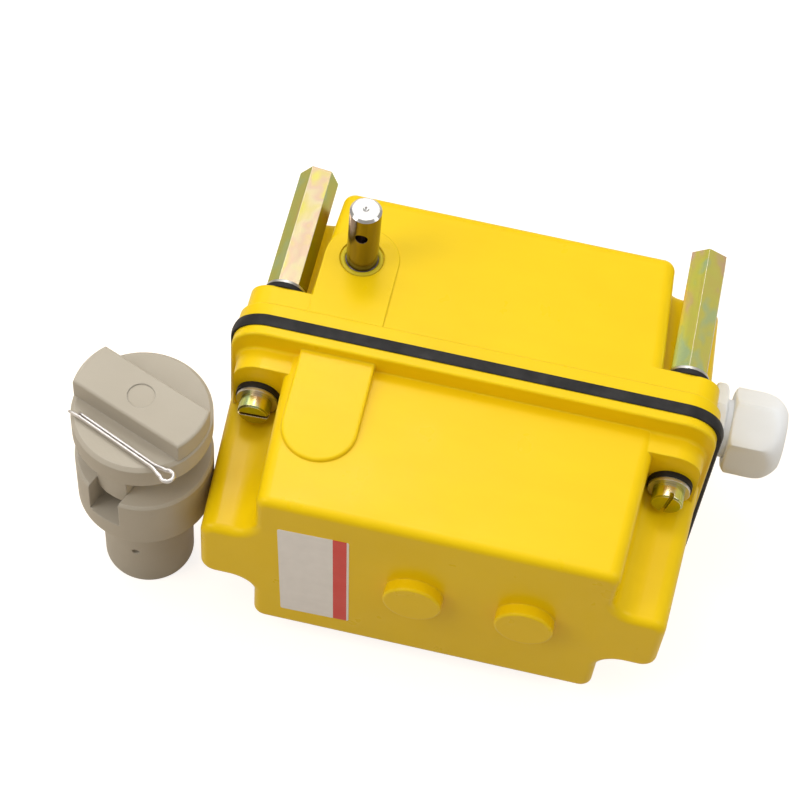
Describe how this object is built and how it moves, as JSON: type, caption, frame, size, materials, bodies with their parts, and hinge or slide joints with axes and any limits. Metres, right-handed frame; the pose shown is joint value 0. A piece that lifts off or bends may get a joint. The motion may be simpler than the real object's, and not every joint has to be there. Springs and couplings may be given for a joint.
{
  "type": "crane limit switch",
  "caption": "Rotary crane limit switch: yellow split housing on hex standoffs, upright input shaft, cable gland, and a loose plastic shaft coupling with its split pin.",
  "frame": {"origin": "middle of the standoffs' free ends, on the plane that they are bolted to", "axes": "+Y the way the standoffs point, +X towards the cable gland, +Z along the input shaft's free end"},
  "size_m": [0.2175, 0.1248, 0.115],
  "materials": {
    "yellow_housing": "glossy",
    "black_rubber": "matt",
    "shaft_lip_seal": "satin",
    "zinc_yellow": "yellow passivated zinc",
    "bright_steel": "turned",
    "plate_steel": "zinc plated",
    "bronze": "turned",
    "gear_white": "moulded",
    "cam_red": "moulded",
    "switch_black": "moulded",
    "plunger_red": "moulded",
    "gland_white": "moulded",
    "coupling_beige": "moulded"
  },
  "bodies": {
    "switch_box": {"base_housing": "yellow_housing", "cover_housing": "yellow_housing", "joint_gasket": "black_rubber", "cover_screws": "zinc_yellow", "cover_washers": "bright_steel", "cover_seal_washers": "black_rubber", "standoffs": "zinc_yellow", "standoff_screws": "zinc_yellow", "standoff_washers": "bright_steel", "standoff_seal_washers": "black_rubber", "shaft_bush": "bronze", "shaft_seal": "shaft_lip_seal", "shaft_foot_bush": "bronze", "idler_pins": "bright_steel", "cam_shaft_bushes": "bronze", "upper_plate": "plate_steel", "middle_plate": "plate_steel", "lower_plate": "plate_steel", "frame_posts": "bright_steel", "post_studs": "bright_steel", "frame_screws": "bright_steel", "switch_terminals": "bronze", "switch_bolts": "bright_steel", "switch_nuts": "bright_steel", "switch_spacers": "gear_white", "terminal_strip": "switch_black", "terminal_screws": "bright_steel", "gland_body": "gland_white", "gland_nut": "gland_white", "gland_seal": "black_rubber", "gland_washer": "black_rubber", "gland_locknut": "gland_white", "micro_switch_1": "switch_black", "micro_switch_2": "switch_black", "micro_switch_3": "switch_black", "micro_switch_4": "switch_black"},
    "input_drive": {"input_shaft": "bright_steel", "input_pinion": "gear_white", "shaft_clip": "bright_steel"},
    "first_idler": {"idler_gear_1": "gear_white"},
    "second_idler": {"idler_gear_2": "gear_white"},
    "cam_drum": {"cam_shaft_spindle": "bright_steel", "cam_gear": "gear_white", "cam_spacers": "gear_white", "cam_lock_nut": "bright_steel", "cam_1": "cam_red", "cam_2": "cam_red", "cam_3": "cam_red", "cam_4": "cam_red"},
    "lever_1": {"switch_lever_1": "bright_steel"},
    "plunger_1": {"switch_plunger_1": "plunger_red"},
    "lever_2": {"switch_lever_2": "bright_steel"},
    "plunger_2": {"switch_plunger_2": "plunger_red"},
    "lever_3": {"switch_lever_3": "bright_steel"},
    "plunger_3": {"switch_plunger_3": "plunger_red"},
    "lever_4": {"switch_lever_4": "bright_steel"},
    "plunger_4": {"switch_plunger_4": "plunger_red"},
    "coupling_lower": {"coupling_hub": "coupling_beige"},
    "coupling_upper": {"coupling_disc": "coupling_beige", "cotter_pin": "bright_steel"}
  },
  "joints": [
    {"name": "input_spin", "type": "hinge", "parent": "switch_box", "child": "input_drive", "pos_m": [-0.043, -0.032, 0], "axis": [0, 0, 1], "continuous": true},
    {"name": "first_idler_spin", "type": "hinge", "parent": "switch_box", "child": "first_idler", "pos_m": [-0.02006, -0.04806, 0], "axis": [0, 0, 1], "continuous": true},
    {"name": "second_idler_spin", "type": "hinge", "parent": "switch_box", "child": "second_idler", "pos_m": [0.00794, -0.04806, 0], "axis": [0, 0, 1], "continuous": true},
    {"name": "cam_spin", "type": "hinge", "parent": "switch_box", "child": "cam_drum", "pos_m": [0.02194, -0.07231, 0], "axis": [0, 0, 1], "continuous": true},
    {"name": "lever_1_tilt", "type": "hinge", "parent": "switch_box", "child": "lever_1", "pos_m": [0.0345, -0.08191, -0.0025], "axis": [0, 0, 1], "range_deg": [-7, 0], "stiffness_Nm_per_rad": 0.004, "springref_deg": 2.86},
    {"name": "plunger_1_travel", "type": "slide", "parent": "switch_box", "child": "plunger_1", "axis": [1, 0, 0], "range_m": [0, 0.0007]},
    {"name": "lever_2_tilt", "type": "hinge", "parent": "switch_box", "child": "lever_2", "pos_m": [0.0345, -0.08191, -0.009], "axis": [0, 0, 1], "range_deg": [-7, 0], "stiffness_Nm_per_rad": 0.004, "springref_deg": 2.86},
    {"name": "plunger_2_travel", "type": "slide", "parent": "switch_box", "child": "plunger_2", "axis": [1, 0, 0], "range_m": [0, 0.0007]},
    {"name": "lever_3_tilt", "type": "hinge", "parent": "switch_box", "child": "lever_3", "pos_m": [0.0345, -0.08191, -0.0155], "axis": [0, 0, 1], "range_deg": [-7, 0], "stiffness_Nm_per_rad": 0.004, "springref_deg": 2.86},
    {"name": "plunger_3_travel", "type": "slide", "parent": "switch_box", "child": "plunger_3", "axis": [1, 0, 0], "range_m": [0, 0.0007]},
    {"name": "lever_4_tilt", "type": "hinge", "parent": "switch_box", "child": "lever_4", "pos_m": [0.0345, -0.08191, -0.022], "axis": [0, 0, 1], "range_deg": [-7, 0], "stiffness_Nm_per_rad": 0.004, "springref_deg": 2.86},
    {"name": "plunger_4_travel", "type": "slide", "parent": "switch_box", "child": "plunger_4", "axis": [1, 0, 0], "range_m": [0, 0.0007]},
    {"name": "coupling_lift", "type": "slide", "parent": "switch_box", "child": "coupling_lower", "axis": [0, 0, 1], "range_m": [0, 0.08]},
    {"name": "coupling_cross_slide", "type": "slide", "parent": "coupling_lower", "child": "coupling_upper", "axis": [0.3746, 0.9272, 0], "range_m": [-0.0015, 0.0015]}
  ],
  "couplings": [
    {"joint": "first_idler_spin", "follows": "input_spin", "ratio": -0.33333},
    {"joint": "second_idler_spin", "follows": "input_spin", "ratio": 0.11111},
    {"joint": "cam_spin", "follows": "input_spin", "ratio": -0.037037},
    {"joint": "plunger_1_travel", "follows": "lever_1_tilt", "m_per_rad": -0.005},
    {"joint": "plunger_2_travel", "follows": "lever_2_tilt", "m_per_rad": -0.005},
    {"joint": "plunger_3_travel", "follows": "lever_3_tilt", "m_per_rad": -0.005},
    {"joint": "plunger_4_travel", "follows": "lever_4_tilt", "m_per_rad": -0.005}
  ]
}
